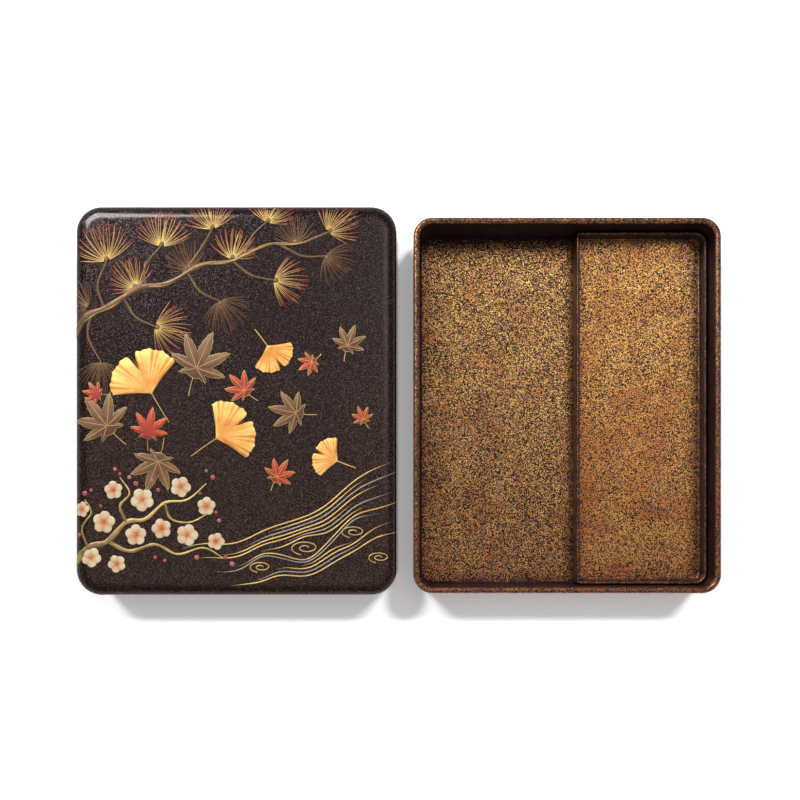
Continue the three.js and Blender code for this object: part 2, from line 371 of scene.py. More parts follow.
def node(tree, kind, inputs=None, out=0, **settings):
    """Adds a shader node with its inputs, and returns one of its outputs, or a slice of them."""
    made = tree.nodes.new("ShaderNode" + kind)
    for key, value in settings.items():
        setattr(made, key, value)
    fill(tree, made, inputs or {})
    return made.outputs[out] if made.outputs else None


def calculate(tree, operation, a, b):
    return node(tree, "Math", {0: a, 1: b}, operation=operation)


def times(tree, a, b, plus=None, clamp=False):
    """One value times another, plus a third where it is given."""
    if plus is None:
        return calculate(tree, "MULTIPLY", a, b)
    return node(tree, "Math", {0: a, 1: b, 2: plus}, operation="MULTIPLY_ADD", use_clamp=clamp)


def mix(tree, factor, a, b):
    """A blend of two colours."""
    a, b = (each if isinstance(each, bpy.types.NodeSocket) else (*each, 1) for each in (a, b))
    return node(tree, "Mix", {0: factor, 6: a, 7: b}, out=2, data_type="RGBA")


def ramp(tree, value, low, high):
    """0 where value is low, 1 where it is high, smooth between."""
    return node(tree, "MapRange", {0: value, 1: low, 2: high}, interpolation_type="SMOOTHSTEP")


def new_material(name):
    """A material whose shader has the gloss of lacquer, and the place of each point in its piece."""
    material = bpy.data.materials.new(name)
    material.use_nodes = True
    tree = material.node_tree
    shader = tree.nodes["Principled BSDF"]
    shader.inputs["IOR"].default_value = 1.5
    place = node(tree, "TexCoord", out=3)
    return material, tree, shader, place


def grains(tree, place, size, cover, radius):
    """Grains of powder. Gives where they lie from 0 to 1, and two random values for each grain."""
    cells = {"Vector": place, "Scale": 1 / size, "Randomness": 1}
    distance = node(tree, "TexVoronoi", cells, out=0)
    chance = node(tree, "TexVoronoi", cells, out=1)
    first, second, third = node(tree, "SeparateColor", {0: chance}, out=slice(None))
    lies = ramp(tree, calculate(tree, "SUBTRACT", cover, first), 0.0, 0.06)
    edge = ramp(tree, distance, radius + 0.04, radius - 0.04)
    return times(tree, lies, edge), second, third


def clouds(tree, place, size, low, high):
    """Soft patches of a size, from 0 to 1."""
    noise = node(tree, "TexNoise", {"Vector": place, "Scale": 1 / size, "Detail": 2.0})
    return ramp(tree, noise, low, high)


def nearness(tree, place):
    """0 along a piece's back edge, 1 along its front edge."""
    depth = node(tree, "SeparateXYZ", {0: place}, out=1)
    return ramp(tree, depth, DEPTH_OF_CHANGE, -DEPTH_OF_CHANGE)


def bump(tree, height, strength, depth):
    return node(tree, "Bump", {"Strength": strength, "Distance": depth, "Height": height})


# Warmth, roughness and gloss
SPRINKLED_GOLDS = {
    "box_rim_gold": (0.2, 0.34, 0.5),
    "box_floor_gold": (0.06, 0.19, 0.25),
    "tray_rim_gold": (0.1, 0.34, 0.5),
    "tray_floor_gold": (0.36, 0.21, 0.25),
}


def sprinkled_gold(name, colours):
    """Gold flakes in amber lacquer, redder where they lie sparse and towards the front. The piece's tone says
    how dense they are; its lower tone along a floor's edges is painted shade, and the redder front is partly
    painted shade.
    """
    warmth, roughness, gloss = SPRINKLED_GOLDS[name]
    material, tree, shader, place = new_material(name)
    tone = node(tree, "Attribute", out=2, attribute_name="tone")
    drift = clouds(tree, place, 34 * MM, 0.3, 0.7)
    cover = times(tree, tone, times(tree, drift, 0.1, 0.4))
    fine, fine_hue, fine_kind = grains(tree, place, FINE_FLAKE, cover, 0.55)
    coarse, coarse_hue, coarse_polish = grains(tree, place, COARSE_FLAKE, cover, 0.52)
    old = mix(tree, fine_hue, colours.copper, colours.old_gold)
    old = mix(tree, ramp(tree, fine_kind, 0.6, 0.9), old, colours.pewter)
    thin_and_shade = times(tree, tone, -1.2, warmth + 1.2)
    # Redder towards the front, partly as painted shade
    thin_and_shade = times(tree, nearness(tree, place), 0.3, thin_and_shade)
    warm = times(tree, clouds(tree, place, 21 * MM, 0.42, 0.66), 0.4, thin_and_shade, clamp=True)
    bright = mix(tree, coarse_hue, colours.old_gold, colours.gold)
    bright = mix(tree, warm, bright, colours.copper)
    violet = clouds(tree, place, 14 * MM, 0.45, 0.7)
    base = mix(tree, violet, colours.ground, colours.slate)
    base = mix(tree, fine, base, old)
    base = mix(tree, coarse, base, bright)
    either = calculate(tree, "MAXIMUM", fine, coarse)
    fill(tree, shader, {
        "Base Color": base,
        "Metallic": times(tree, either, 0.85),
        "Roughness": times(tree, coarse_polish, 0.1, roughness),
        "Specular IOR Level": gloss,
        "Normal": bump(tree, either, 0.15, FLAKE_BUMP),
    })
    return material


def plain_wall(name, colours):
    """Matt violet-brown lacquer of the walls' inner faces, with a few flakes."""
    material, tree, shader, place = new_material(name)
    cloud = clouds(tree, place, 9 * MM, 0.3, 0.7)
    base = mix(tree, cloud, colours.black, colours.slate)
    flakes, _, polish = grains(tree, place, WALL_FLAKE, 0.08, 0.4)
    fill(tree, shader, {
        "Base Color": mix(tree, times(tree, flakes, 0.4), base, colours.copper),
        "Roughness": times(tree, polish, 0.1, 0.45),
        "Specular IOR Level": 0.15,
        "Normal": bump(tree, flakes, 0.2, DUST_BUMP),
    })
    return material


def powdered_black(name, colours):
    """Brown-black lacquer with fine pewter powder, denser and browner towards the front. The browner front is
    partly painted shade.
    """
    material, tree, shader, place = new_material(name)
    front = nearness(tree, place)
    cover = times(tree, clouds(tree, place, 45 * MM, 0.3, 0.7), 0.1, 0.38)
    # Denser and browner towards the front, partly as painted shade
    cover = times(tree, front, 0.08, cover)
    powder, hue, polish = grains(tree, place, LID_GRAIN, cover, 0.48)
    pale = mix(tree, hue, colours.brown, colours.pewter)
    pale = mix(tree, times(tree, front, 0.5), pale, colours.bronze)
    shown = times(tree, powder, times(tree, front, 0.25, 0.55))
    fill(tree, shader, {
        "Base Color": mix(tree, shown, colours.black, pale),
        "Metallic": times(tree, powder, 0.8),
        "Roughness": times(tree, powder, times(tree, polish, 0.1, 0.13), 0.12),
        "Specular IOR Level": 0.25,
        "Normal": bump(tree, powder, 0.15, FLAKE_BUMP),
    })
    return material


# Root's colour, tip's colour, dusting powder, how metallic and how rough
RAISED_LACQUERS = {
    "bark_lacquer": ("brown", "bronze", "line_gold", 0.35, 0.36),
    "furrow_gold": ("line_gold", "old_gold", "gold", 0.5, 0.3),
    "needle_gold": ("line_gold", "red", "gold", 0.5, 0.3),
    "needle_brown": ("bronze", "brown", "copper", 0.3, 0.36),
    "ginkgo_gold": ("gold", "leaf_gold", "line_gold", 0.4, 0.32),
    "rib_gold": ("gold", "leaf_gold", "gold", 0.4, 0.3),
    "brown_maple_lacquer": ("brown", "bronze", "copper", 0.15, 0.34),
    "red_maple_lacquer": ("red", "scarlet", "copper", 0.15, 0.34),
    "vein_gold": ("old_gold", "line_gold", "gold", 0.5, 0.32),
    "twig_gold": ("brown", "line_gold", "gold", 0.4, 0.34),
    "blossom_cream": ("cream", "copper", "silver", 0.0, 0.4),
    "heart_gold": ("leaf_gold", "copper", "gold", 0.5, 0.32),
    "bud_red": ("red", "pink", "cream", 0.0, 0.34),
    "stream_gold": ("line_gold", "old_gold", "gold", 0.5, 0.3),
    "stream_silver": ("silver", "pewter", "cream", 0.5, 0.3),
}


def raised_lacquer(name, colours):
    """A raised motif that shades from its root's colour to its tip's under a dusting of powder."""
    *named, metallic, roughness = RAISED_LACQUERS[name]
    root, tip, powder = (getattr(colours, each) for each in named)
    material, tree, shader, place = new_material(name)
    tone = node(tree, "Attribute", out=2, attribute_name="tone")
    cloud = clouds(tree, place, 7 * MM, 0.35, 0.65)
    shade = times(tree, calculate(tree, "SUBTRACT", cloud, 0.5), 0.3, tone, clamp=True)
    dust, _, polish = grains(tree, place, DUST_GRAIN, 0.5, 0.45)
    fill(tree, shader, {
        "Base Color": mix(tree, times(tree, dust, 0.3), mix(tree, shade, root, tip), powder),
        "Metallic": metallic,
        "Roughness": times(tree, polish, 0.18, roughness),
        "Normal": bump(tree, dust, 0.35, DUST_BUMP),
    })
    return material


# The lid's face

FACE_STEPS = 200  # how finely the shoulder's curve is measured along its run
EDGE_RELIEF = 0.7  # how much of a motif's height is lost at the foot of the shoulder


class LidFace:
    """The lid's outer surface, unrolled: points over its edge run down the shoulder and then the wall."""

    def __init__(self, sizes, relief):
        self.low, self.high = span([*LID_NODES, "lid_top_board"])
        self.crown = sizes.crown
        self.width = sizes.shoulder_width
        self.drop = sizes.shoulder_drop
        self.edge = self.high.z - self.crown
        self.centre = (self.low + self.high) / 2
        self.half = np.array([
            (self.high.x - self.low.x) / 2 - self.width,
            (self.high.y - self.low.y) / 2 - self.width,
        ])
        self.sunk = relief.sunk
        self.angles = np.linspace(0, math.pi / 2, FACE_STEPS)
        out = self.width * np.sin(self.angles)
        down = self.drop * (1 - np.cos(self.angles))
        self.run = np.concatenate([[0], np.cumsum(np.hypot(np.diff(out), np.diff(down)))])

    def crown_over_edge(self, local):
        """How far the crown stands over its edge, at shares of the half sizes."""
        return self.crown * (1 - local[:, 0] ** 2) * (1 - local[:, 1] ** 2)

    def crown_height(self, loop):
        """Height of the crowned top at points of the frame."""
        return self.edge + self.crown_over_edge((loop - np.array(self.centre.xy)) / self.half)

    def lay(self, points, heights):
        """Points of the frame for points of the design, at heights over the lacquer."""
        points = np.asarray(points, float)
        heights = np.broadcast_to(np.asarray(heights, float), len(points))
        inner = np.clip(points, -self.half, self.half)
        over = points - inner
        side = np.argmax(np.abs(over), axis=1)
        rows = np.arange(len(points))
        run = np.abs(over[rows, side])
        tilt = np.where(run > 0, np.interp(run, self.run, self.angles), 0)
        below = np.maximum(run - self.run[-1], 0)
        kept = 1 - EDGE_RELIEF * np.clip(run / self.run[-1], 0, 1)
        heights = np.where(heights > 0, heights * kept, heights)
        outwards = self.width * np.sin(tilt) + heights * np.sin(tilt)
        crown = self.crown_over_edge(inner / self.half)
        laid = np.zeros((len(points), 3))
        laid[:, :2] = inner
        laid[rows, side] += np.sign(over[rows, side]) * outwards
        laid[:, 2] = self.edge + crown - self.drop * (1 - np.cos(tilt)) - below + heights * np.cos(tilt)
        laid[:, :2] += self.centre.xy
        return laid


def across(path):
    """Steps of length 1 to the left of a path."""
    along = np.gradient(path, axis=0)
    along /= np.linalg.norm(along, axis=1)[:, None]
    return np.column_stack([-along[:, 1], along[:, 0]])


class Motif:
    """A mesh of raised pieces that lie on the lid."""

    def __init__(self, face):
        self.face = face
        self.vertices = []
        self.faces = []
        self.tones = []

    def add(self, points, heights, faces, tones):
        start = len(self.tones)
        self.vertices.append(self.face.lay(points, heights))
        self.faces += [tuple(start + index for index in loop) for loop in faces]
        self.tones += list(np.broadcast_to(tones, len(points)))

    def line(self, path, widths, height, tones=(0.0, 1.0), sections=5):
        """A low ridge along a path, as wide as its widths say."""
        path = np.asarray(path, float)
        widths = np.broadcast_to(np.asarray(widths, float), len(path))
        angles = np.linspace(0, math.pi, sections)
        offsets = np.concatenate([np.cos(angles), [-1, 1]]) / 2
        count = len(offsets)
        points = path[:, None] + across(path)[:, None] * widths[:, None, None] * offsets[None, :, None]
        rise = np.minimum(1, widths / max(widths.max() * 0.6, 1e-9))
        tops = height * rise[:, None] * np.sin(angles)[None]
        feet = np.full((len(path), 2), -self.face.sunk)
        faces = [(a, d, c, b) for a, b, c, d in strip(len(path), count)]
        faces.append(tuple(range(count)))
        faces.append(tuple(range(len(path) * count - 1, (len(path) - 1) * count - 1, -1)))
        shades = np.repeat(np.linspace(*tones, len(path)), count)
        self.add(points.reshape(-1, 2), np.hstack([tops, feet]).ravel(), faces, shades)

    def patch(self, outline, centre, height, lift=0.0, tones=(0.0, 1.0), rings=8, edge=0.35):
        """A domed patch inside an outline that can be seen whole from its centre.

        The tones are the centre's and the outline's, which may have one for each of its points.
        """
        outline = np.asarray(outline, float)
        centre = np.asarray(centre, float)
        count = len(outline)
        points = [outline]
        heights = [np.full(count, -self.face.sunk)]
        shades = [np.full(count, tones[1])]
        for size in np.linspace(1, 0, rings + 1)[:-1]:
            points.append(centre + (outline - centre) * size)
            dome = edge + (1 - edge) * math.sqrt(1 - size**3)
            heights.append(np.full(count, lift + height * dome))
            shades.append(np.full(count, tones[0] + (tones[1] - tones[0]) * size))
        points += [centre[None], centre[None]]
        heights += [[lift + height], [-self.face.sunk]]
        shades += [[tones[0]], [tones[0]]]
        faces = list(strip(rings + 1, count))
        top = (rings + 1) * count
        inner = rings * count
        for k in range(count):
            faces.append((inner + k, inner + (k + 1) % count, top))
            faces.append(((k + 1) % count, k, top + 1))
        self.add(np.vstack(points), np.concatenate(heights), faces, np.concatenate(shades))

    def finish(self, name, material):
        piece = add_object(name, np.vstack(self.vertices), self.faces, [material], self.tones, sharp=55)
        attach(piece, "lid")


def lid_design(context):
    """The lid's face, and the relief and colours of the design on it."""
    settings = context.scene.writing_box
    return LidFace(settings.lid, settings.relief), settings.relief, settings.colours


def smooth_path(points, steps=10):
    """A curve through points given in millimetres, in metres."""
    points = np.asarray(points, float) * MM
    padded = np.vstack([2 * points[0] - points[1], points, 2 * points[-1] - points[-2]])
    part = np.linspace(0, 1, steps, endpoint=False)[:, None]
    curve = []
    for a, b, c, d in zip(padded, padded[1:], padded[2:], padded[3:]):
        curve.append(0.5 * (
            2 * b + (c - a) * part
            + (2 * a - 5 * b + 4 * c - d) * part**2
            + (3 * b - a - 3 * c + d) * part**3
        ))
    return np.vstack([*curve, points[-1]])


def ramp_up(value):
    """A smooth rise from 0 to 1."""
    clipped = np.clip(value, 0, 1)
    return clipped * clipped * (3 - 2 * clipped)


def placed(outline, x, y, degrees, size):
    """An outline of unit size, turned, scaled and moved to a place in millimetres."""
    angle = math.radians(degrees)
    turn = np.array([[math.cos(angle), math.sin(angle)], [-math.sin(angle), math.cos(angle)]])
    return (np.asarray(outline, float) @ turn * size + (x, y)) * MM


def towards(degrees):
    """A step of length 1, by its angle from the right."""
    angle = math.radians(degrees)
    return np.array([math.cos(angle), math.sin(angle)])


def round_outline(points):
    """A circle of unit size, and the angles of its points."""
    angles = np.linspace(0, 2 * math.pi, points, endpoint=False)
    return np.column_stack([np.cos(angles), np.sin(angles)]), angles


def spread(angles, reach):
    """Points at a reach, by their angle clockwise from up."""
    return np.column_stack([np.sin(angles) * reach, np.cos(angles) * reach])


# Angle, and the lengths of the lobe and of its vein
MAPLE_LOBES = (
    (0, 1.0, 0.95), (42, 0.93, 0.88), (-42, 0.93, 0.88), (84, 0.76, 0.7), (-84, 0.76, 0.7),
    (125, 0.46, 0.4), (-125, 0.46, 0.4),
)


def maple_outline(points=168):
    """A leaf of seven pointed lobes with toothed edges, its stalk at the origin and its tip up."""
    angles = np.linspace(-math.pi, math.pi, points, endpoint=False)
    reach = np.full(points, 0.26)
    for degrees, tall, _ in MAPLE_LOBES:
        off = np.abs((angles - math.radians(degrees) + math.pi) % (2 * math.pi) - math.pi) / math.radians(24)
        lobe = np.where(off < 1, tall * (1 - np.clip(off, 0, 1) ** 0.9 * 0.66), 0)
        reach = np.maximum(reach, lobe)
    reach *= 1 + 0.04 * np.sin(angles * 60)
    return spread(angles, reach)


def ginkgo_outline(points=90):
    """A fan with a split, wavy edge, its stalk at the origin and its edge up."""
    angles = np.linspace(-1.12, 1.12, points)
    wave = 0.014 * np.sin(angles * 19) + 0.008 * np.sin(angles * 43 + 1)
    reach = 1 + wave - 0.42 * np.exp(-(angles / 0.06) ** 2) - 0.12 * np.abs(angles) ** 3 / 1.4
    fan = spread(angles, reach)
    inwards = np.linspace(0, 1, 12)[1:-1]
    right = fan[-1] * (1 - inwards)[:, None] + np.outer(inwards * (1 - inwards), (-0.3, -0.05))
    left = right[::-1] * (-1, 1)
    return np.vstack([fan, right, [[0.02, 0], [-0.02, 0]], left])


def needles(motif, random, x, y, degrees, size, relief, count=23, widest=80):
    """A fan of pine needles that spring from one place."""
    for turn in np.linspace(-widest, widest, count):
        angle = math.radians(90 + degrees + turn + random.uniform(-2, 2))
        tall = size * (1 - 0.22 * (abs(turn) / widest) ** 2) * random.uniform(0.9, 1.04)
        bend = math.radians(random.uniform(6, 16)) * math.copysign(1, turn)
        steps = np.linspace(0.1, 1, 7)
        angles = angle - bend * steps
        path = np.column_stack([x + tall * steps * np.cos(angles), y + tall * steps * np.sin(angles)]) * MM
        widths = relief.needle * (0.55 + 0.9 * steps) * (1.15 - steps) ** 0.5
        motif.line(path, widths, relief.line, sections=4)


# Where the motifs lie, in millimetres from the middle of the lid
# Fans and blossoms have an angle and a size after their place, leaves their lift over the lid as well

LIMB = (
    (-103, 40), (-93, 52), (-78, 59), (-60, 70), (-42, 73), (-22, 84), (-2, 87), (20, 97), (40, 98),
    (58, 105),
)
LIMB_TWIGS = (
    ((-82, 58), (-86, 72), (-80, 88)), ((-56, 71), (-56, 84), (-46, 97)), ((-34, 77), (-22, 94), (-14, 108)),
    ((6, 91), (10, 102), (20, 112)), ((-90, 54), (-92, 40), (-84, 24)), ((-70, 64), (-62, 52), (-50, 46)),
    ((-30, 80), (-22, 68), (-10, 62)), ((-2, 87), (10, 78), (24, 75)), ((28, 97), (42, 90), (56, 90)),
)
GOLD_FANS = (
    (-80, 87, 18, 25), (-46, 96, -6, 23), (-14, 107, 14, 21), (20, 111, -20, 20), (58, 105, -48, 22),
    (-50, 46, -104, 23), (24, 75, -98, 22), (-62, 70, 30, 20), (-2, 88, -10, 20),
)
BROWN_FANS = (
    (-84, 24, 178, 22), (-10, 62, -150, 22), (56, 90, -122, 20), (-92, 58, 62, 20), (38, 98, 12, 18),
    (-28, 82, 26, 19),
)
GOLD_GINKGO = (
    (-52, 4, 28, 28, 0.25), (-12, -24, -58, 25, 0.1), (20, 34, -146, 17, 0.0), (64, -38, 66, 16, 0.0),
)
BROWN_MAPLES = (
    (-24, 20, -24, 25, 0.0), (-80, -16, 38, 23, 0.0), (-48, -38, 158, 21, 0.0), (38, -8, 78, 18, 0.0),
    (70, 34, -20, 14, 0.0),
)
RED_MAPLES = (
    (-54, -20, -10, 16, 0.3), (6, 6, 44, 14, 0.0), (48, 24, 122, 10, 0.0), (26, -48, -32, 13, 0.0),
    (80, -12, 24, 9, 0.0), (-86, 4, 80, 10, 0.2),
)
PLUM_TRUNKS = (  # how thick, and its points
    (4.6, ((-103, -104), (-92, -92), (-80, -88), (-68, -76), (-56, -74), (-44, -64), (-30, -62), (-18, -52))),
    (2.8, ((-80, -88), (-66, -94), (-50, -90), (-36, -96), (-20, -92), (-8, -98))),
    (2.4, ((-68, -76), (-72, -66), (-66, -58), (-72, -48))),
    (1.8, ((-44, -64), (-40, -74), (-28, -76), (-16, -70))),
    (1.6, ((-92, -92), (-96, -80), (-90, -70), (-94, -62))),
)
BLOSSOMS = (
    (-82, -76, 10, 7.2), (-58, -62, 50, 7.5), (-62, -84, 20, 6.8), (-34, -54, 66, 6.6), (-46, -80, 35, 6.4),
    (-30, -84, 0, 7.0), (-76, -56, 25, 5.9), (-90, -98, 60, 6.4), (-18, -66, 14, 5.9), (-74, -102, 44, 5.7),
    (-12, -88, 70, 5.5), (-96, -68, 5, 5.0),
)
BUDS = (
    (-72, -46), (-75, -43), (-14, -48), (-18, -44), (-6, -98), (-2, -102), (-12, -70), (-10, -75), (-94, -58),
    (-90, -56), (-48, -56), (-52, -50), (-22, -58), (-66, -48), (-62, -52), (-44, -100), (-50, -98),
    (-24, -98), (-84, -66), (-98, -84),
)
FURROW_POINTS = 9
GINKGO_RIBS = 15
STREAM_LINES = 13
EDDIES = ((44, -92, 6.5), (74, -82, 5.5), (16, -104, 5), (90, -98, 5))


# One operator for each piece, or group of like pieces

# How densely the gold flakes lie on each part of a skin, where 1 is the box's floor. The lower values at the
# floors' edges are painted shade along the walls.
BOX_OUTSIDE, BOX_RIM, BOX_FLOOR, BOX_FLOOR_SHADED_EDGE = 0.62, 0.74, 1.0, 0.6
TRAY_OUTSIDE, TRAY_RIM, TRAY_INSIDE, TRAY_FLOOR, TRAY_FLOOR_SHADED_EDGE = 0.3, 0.42, 0.45, 1.17, 0.85


class WRITINGBOX_OT_box(Operator):
    """Lacquer the box in one skin, from its underside over the rim to the gold floor"""

    bl_idname = "writing_box.box"
    bl_label = "Box"

    def execute(self, context):
        settings = context.scene.writing_box
        sizes = settings.box
        low, high = span(BOX_NODES)
        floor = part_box("box_bottom_board")[1].z + sizes.coat
        rim = sizes.wall / 2
        gold, plain, bright = range(3)
        outside = [
            (sizes.foot * 3, 0.0),
            *arc(sizes.foot, sizes.foot, sizes.foot, 270, 180, steps=6),
            (0.0, high.z - 2 * rim),
        ]
        over = arc(rim, high.z - rim, rim, 180, 0, steps=16)
        inside = inner_side(sizes, high.z - 2 * rim, floor, steps=6)
        rings = [
            *flat_rings(sizes.foot * 3, 0.0, BOX_OUTSIDE, gold, inwards=False),
            *section_rings(outside, BOX_OUTSIDE, gold),
            *section_rings(over, BOX_RIM, gold),
            *section_rings(inside, 0.0, plain),
            *floor_rings(sizes.wall + sizes.cove, floor, BOX_FLOOR, BOX_FLOOR_SHADED_EDGE, bright),
        ]
        coats = [
            sprinkled_gold("box_rim_gold", settings.colours),
            plain_wall("box_inner_wall", settings.colours),
            sprinkled_gold("box_floor_gold", settings.colours),
        ]
        piece = lacquer_skin("box_lacquer_skin", (low, high, [sizes.corner] * 4), rings, coats)
        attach(piece, "box")
        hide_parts(*BOX_NODES, "box_bottom_board")
        return {"FINISHED"}


class WRITINGBOX_OT_tray(Operator):
    """Lacquer the tray in one skin, hollow underneath"""

    bl_idname = "writing_box.tray"
    bl_label = "Tray"

    def execute(self, context):
        settings = context.scene.writing_box
        sizes = settings.tray
        low, high = span(TRAY_NODES)
        below, floor = (corner.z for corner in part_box("tray_bottom_board"))
        rim = sizes.wall / 2
        gold, bright = range(2)
        underside = [(sizes.wall * 2, below), (sizes.wall, below), (sizes.wall, low.z)]
        outside = [(sizes.foot, low.z), (0.0, low.z + sizes.foot), (0.0, high.z - 2 * rim)]
        over = arc(rim, high.z - rim, rim, 180, 0, steps=12)
        inside = inner_side(sizes, high.z - 2 * rim, floor, steps=8)
        rings = [
            *flat_rings(sizes.wall * 2, below, TRAY_OUTSIDE, gold, inwards=False),
            *section_rings(underside, TRAY_OUTSIDE, gold),
            *section_rings(outside, TRAY_OUTSIDE, gold),
            *section_rings(over, TRAY_RIM, gold),
            *section_rings(inside, TRAY_INSIDE, gold),
            *floor_rings(sizes.wall + sizes.cove, floor, TRAY_FLOOR, TRAY_FLOOR_SHADED_EDGE, bright),
        ]
        coats = [
            sprinkled_gold("tray_rim_gold", settings.colours),
            sprinkled_gold("tray_floor_gold", settings.colours),
        ]
        radii = [sizes.free_corner, sizes.fitted_corner, sizes.fitted_corner, sizes.free_corner]
        piece = lacquer_skin("tray_lacquer_skin", (low, high, radii), rings, coats)
        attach(piece, "tray")
        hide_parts(*TRAY_NODES, "tray_bottom_board")
        return {"FINISHED"}


class WRITINGBOX_OT_lid(Operator):
    """Lacquer the lid in one skin, black outside with a crowned top and hollow underneath"""

    bl_idname = "writing_box.lid"
    bl_label = "Lid"

    def execute(self, context):
        settings = context.scene.writing_box
        sizes = settings.lid
        face = LidFace(sizes, settings.relief)
        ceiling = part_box("lid_top_board")[0].z
        flat = sizes.wall + sizes.cove
        section = [
            *arc(flat, ceiling - sizes.cove, sizes.cove, 90, 180, steps=6),
            *arc(sizes.wall - sizes.rim, sizes.rim, sizes.rim, 0, -90, steps=5),
            *arc(sizes.rim, sizes.rim, sizes.rim, 270, 180, steps=5),
            *arc(face.width, face.edge - face.drop, face.width, 180, 90, steps=14, rise=face.drop),
        ]
        rings = [
            *flat_rings(flat, ceiling, 0.0, 0, inwards=False),
            *section_rings(section, 0.0, 0),
            *[(face.width, face.crown_height, size, 0.0, 0) for size in np.linspace(1, 0, 15)[1:-1]],
        ]
        outline = (face.low, face.high, [sizes.corner] * 4)
        coats = [powdered_black("lid_powdered_black", settings.colours)]
        piece = lacquer_skin("lid_lacquer_skin", outline, rings, coats)
        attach(piece, "lid")
        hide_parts(*LID_NODES, "lid_top_board")
        return {"FINISHED"}


class WRITINGBOX_OT_pine(Operator):
    """Raise a pine limb with its twigs, and fans of gold needles with red tips"""

    bl_idname = "writing_box.pine"
    bl_label = "Pine"

    def execute(self, context):
        face, relief, colours = lid_design(context)
        random = np.random.default_rng(11)
        limb = Motif(face)
        path = smooth_path(LIMB, 12)
        along = np.linspace(0, 1, len(path))
        knots = 1 + 0.16 * np.sin(along * 61) + 0.1 * np.sin(along * 23)
        widths = (5.2 - 4.0 * along) * knots * MM
        limb.line(path, widths, relief.branch, tones=(0.0, 0.6), sections=9)
        furrows = Motif(face)
        beside = across(path) * widths[:, None]
        furrow_widths = 0.42 * MM * np.sin(np.linspace(0.3, math.pi - 0.3, FURROW_POINTS))
        for start in range(0, len(path) - 14, 3):
            stroke = slice(start, start + FURROW_POINTS)
            furrow = path[stroke] + beside[stroke] * random.uniform(-0.36, 0.36)
            furrows.line(furrow, furrow_widths, relief.branch * 1.08, sections=4)
        for twig in LIMB_TWIGS:
            path = smooth_path(twig, 8)
            along = np.linspace(0, 1, len(path))
            limb.line(path, (1.9 - 1.1 * along) * MM, relief.branch * 0.6, tones=(0.4, 1.0))
        circle, _ = round_outline(12)
        for x, y, degrees, size in (*GOLD_FANS, *BROWN_FANS):
            centre = (np.array([x, y]) + size * 0.07 * towards(90 + degrees)) * MM
            limb.patch(centre + 1.5 * MM * circle, centre, relief.branch * 0.7, tones=(1.0, 0.5), rings=4)
        limb.finish("pine_limb", raised_lacquer("bark_lacquer", colours))
        furrows.finish("pine_bark_lines", raised_lacquer("furrow_gold", colours))
        for name, fans in (("gold", GOLD_FANS), ("brown", BROWN_FANS)):
            clusters = Motif(face)
            for fan in fans:
                needles(clusters, random, *fan, relief)
            clusters.finish(f"pine_needles_{name}", raised_lacquer(f"needle_{name}", colours))
        return {"FINISHED"}


class WRITINGBOX_OT_ginkgo(Operator):
    """Raise ginkgo leaves in gold, with fine ribs"""

    bl_idname = "writing_box.ginkgo"
    bl_label = "Ginkgo leaves"

    def execute(self, context):
        face, relief, colours = lid_design(context)
        leaves = Motif(face)
        ribs = Motif(face)
        outline = ginkgo_outline()
        turns = np.linspace(-1.02, 1.02, GINKGO_RIBS)
        between = (np.arctan2(outline[:, 0], outline[:, 1]) - turns[0]) / (turns[1] - turns[0])
        # Orange between the ribs is painted shade in their hollows
        hollow_shade_depths = 0.3 + 0.2 * np.sin(between * 1.9)
        rib_hollow_shade = 0.1 + hollow_shade_depths * (1 - np.cos(between * 2 * math.pi))
        reach = np.linspace(0.16, 0.86, 9)
        rib_widths = np.linspace(0.4, 0.2, 9) * MM
        stalk = np.column_stack([np.linspace(0, 0.12, 8) ** 1.5, np.linspace(0.05, -0.75, 8)])
        for *place, lift in GOLD_GINKGO:
            lift *= MM
            centre = placed([[0, 0.12]], *place)[0]
            leaves.patch(placed(outline, *place), centre, relief.leaf, lift, tones=(0.85, rib_hollow_shade), rings=12)
            for turn in turns:
                rib = placed(spread(turn, reach), *place)
                ribs.line(rib, rib_widths, relief.leaf * 1.25 + lift, tones=(0.6, 0.0))
            ribs.line(placed(stalk, *place), 0.6 * MM, relief.line * 1.6 + lift, tones=(0.2, 0.4))
        leaves.finish("ginkgo_leaves", raised_lacquer("ginkgo_gold", colours))
        ribs.finish("ginkgo_ribs", raised_lacquer("rib_gold", colours))
        return {"FINISHED"}


def maple_leaves(context, name, places, vein_gold):
    """Raised maple leaves with gold veins, edges and stalks."""
    face, relief, colours = lid_design(context)
    leaves = Motif(face)
    veins = Motif(face)
    outline = maple_outline()
    tips = ramp_up((np.linalg.norm(outline, axis=1) - 0.3) / 0.5)
    along = np.linspace(0, 1, 8)
    stalk = np.column_stack([0.1 * along ** 2, np.linspace(0, -0.72, 8)])
    vein_widths = (0.65 - 0.35 * np.linspace(0, 1, 9)) * MM
    for *place, lift in places:
        lift *= MM
        leaf = placed(outline, *place)
        leaves.patch(leaf, placed([[0, 0]], *place)[0], relief.leaf, lift, tones=(0.1, tips))
        veins.line(np.vstack([leaf, leaf[:1]]), 0.3 * MM, relief.leaf * 0.5 + lift, tones=(1, 1), sections=4)
        for turn, _, tall in MAPLE_LOBES:
            vein = placed(spread(math.radians(turn), np.linspace(0.02, tall, 9)), *place)
            veins.line(vein, vein_widths, relief.leaf * 1.18 + lift, sections=4)
        veins.line(placed(stalk, *place), 0.55 * MM, relief.line * 1.6 + lift)
    leaves.finish(f"{name}_leaves", raised_lacquer(f"{name}_lacquer", colours))
    veins.finish(f"{name}_veins", vein_gold)


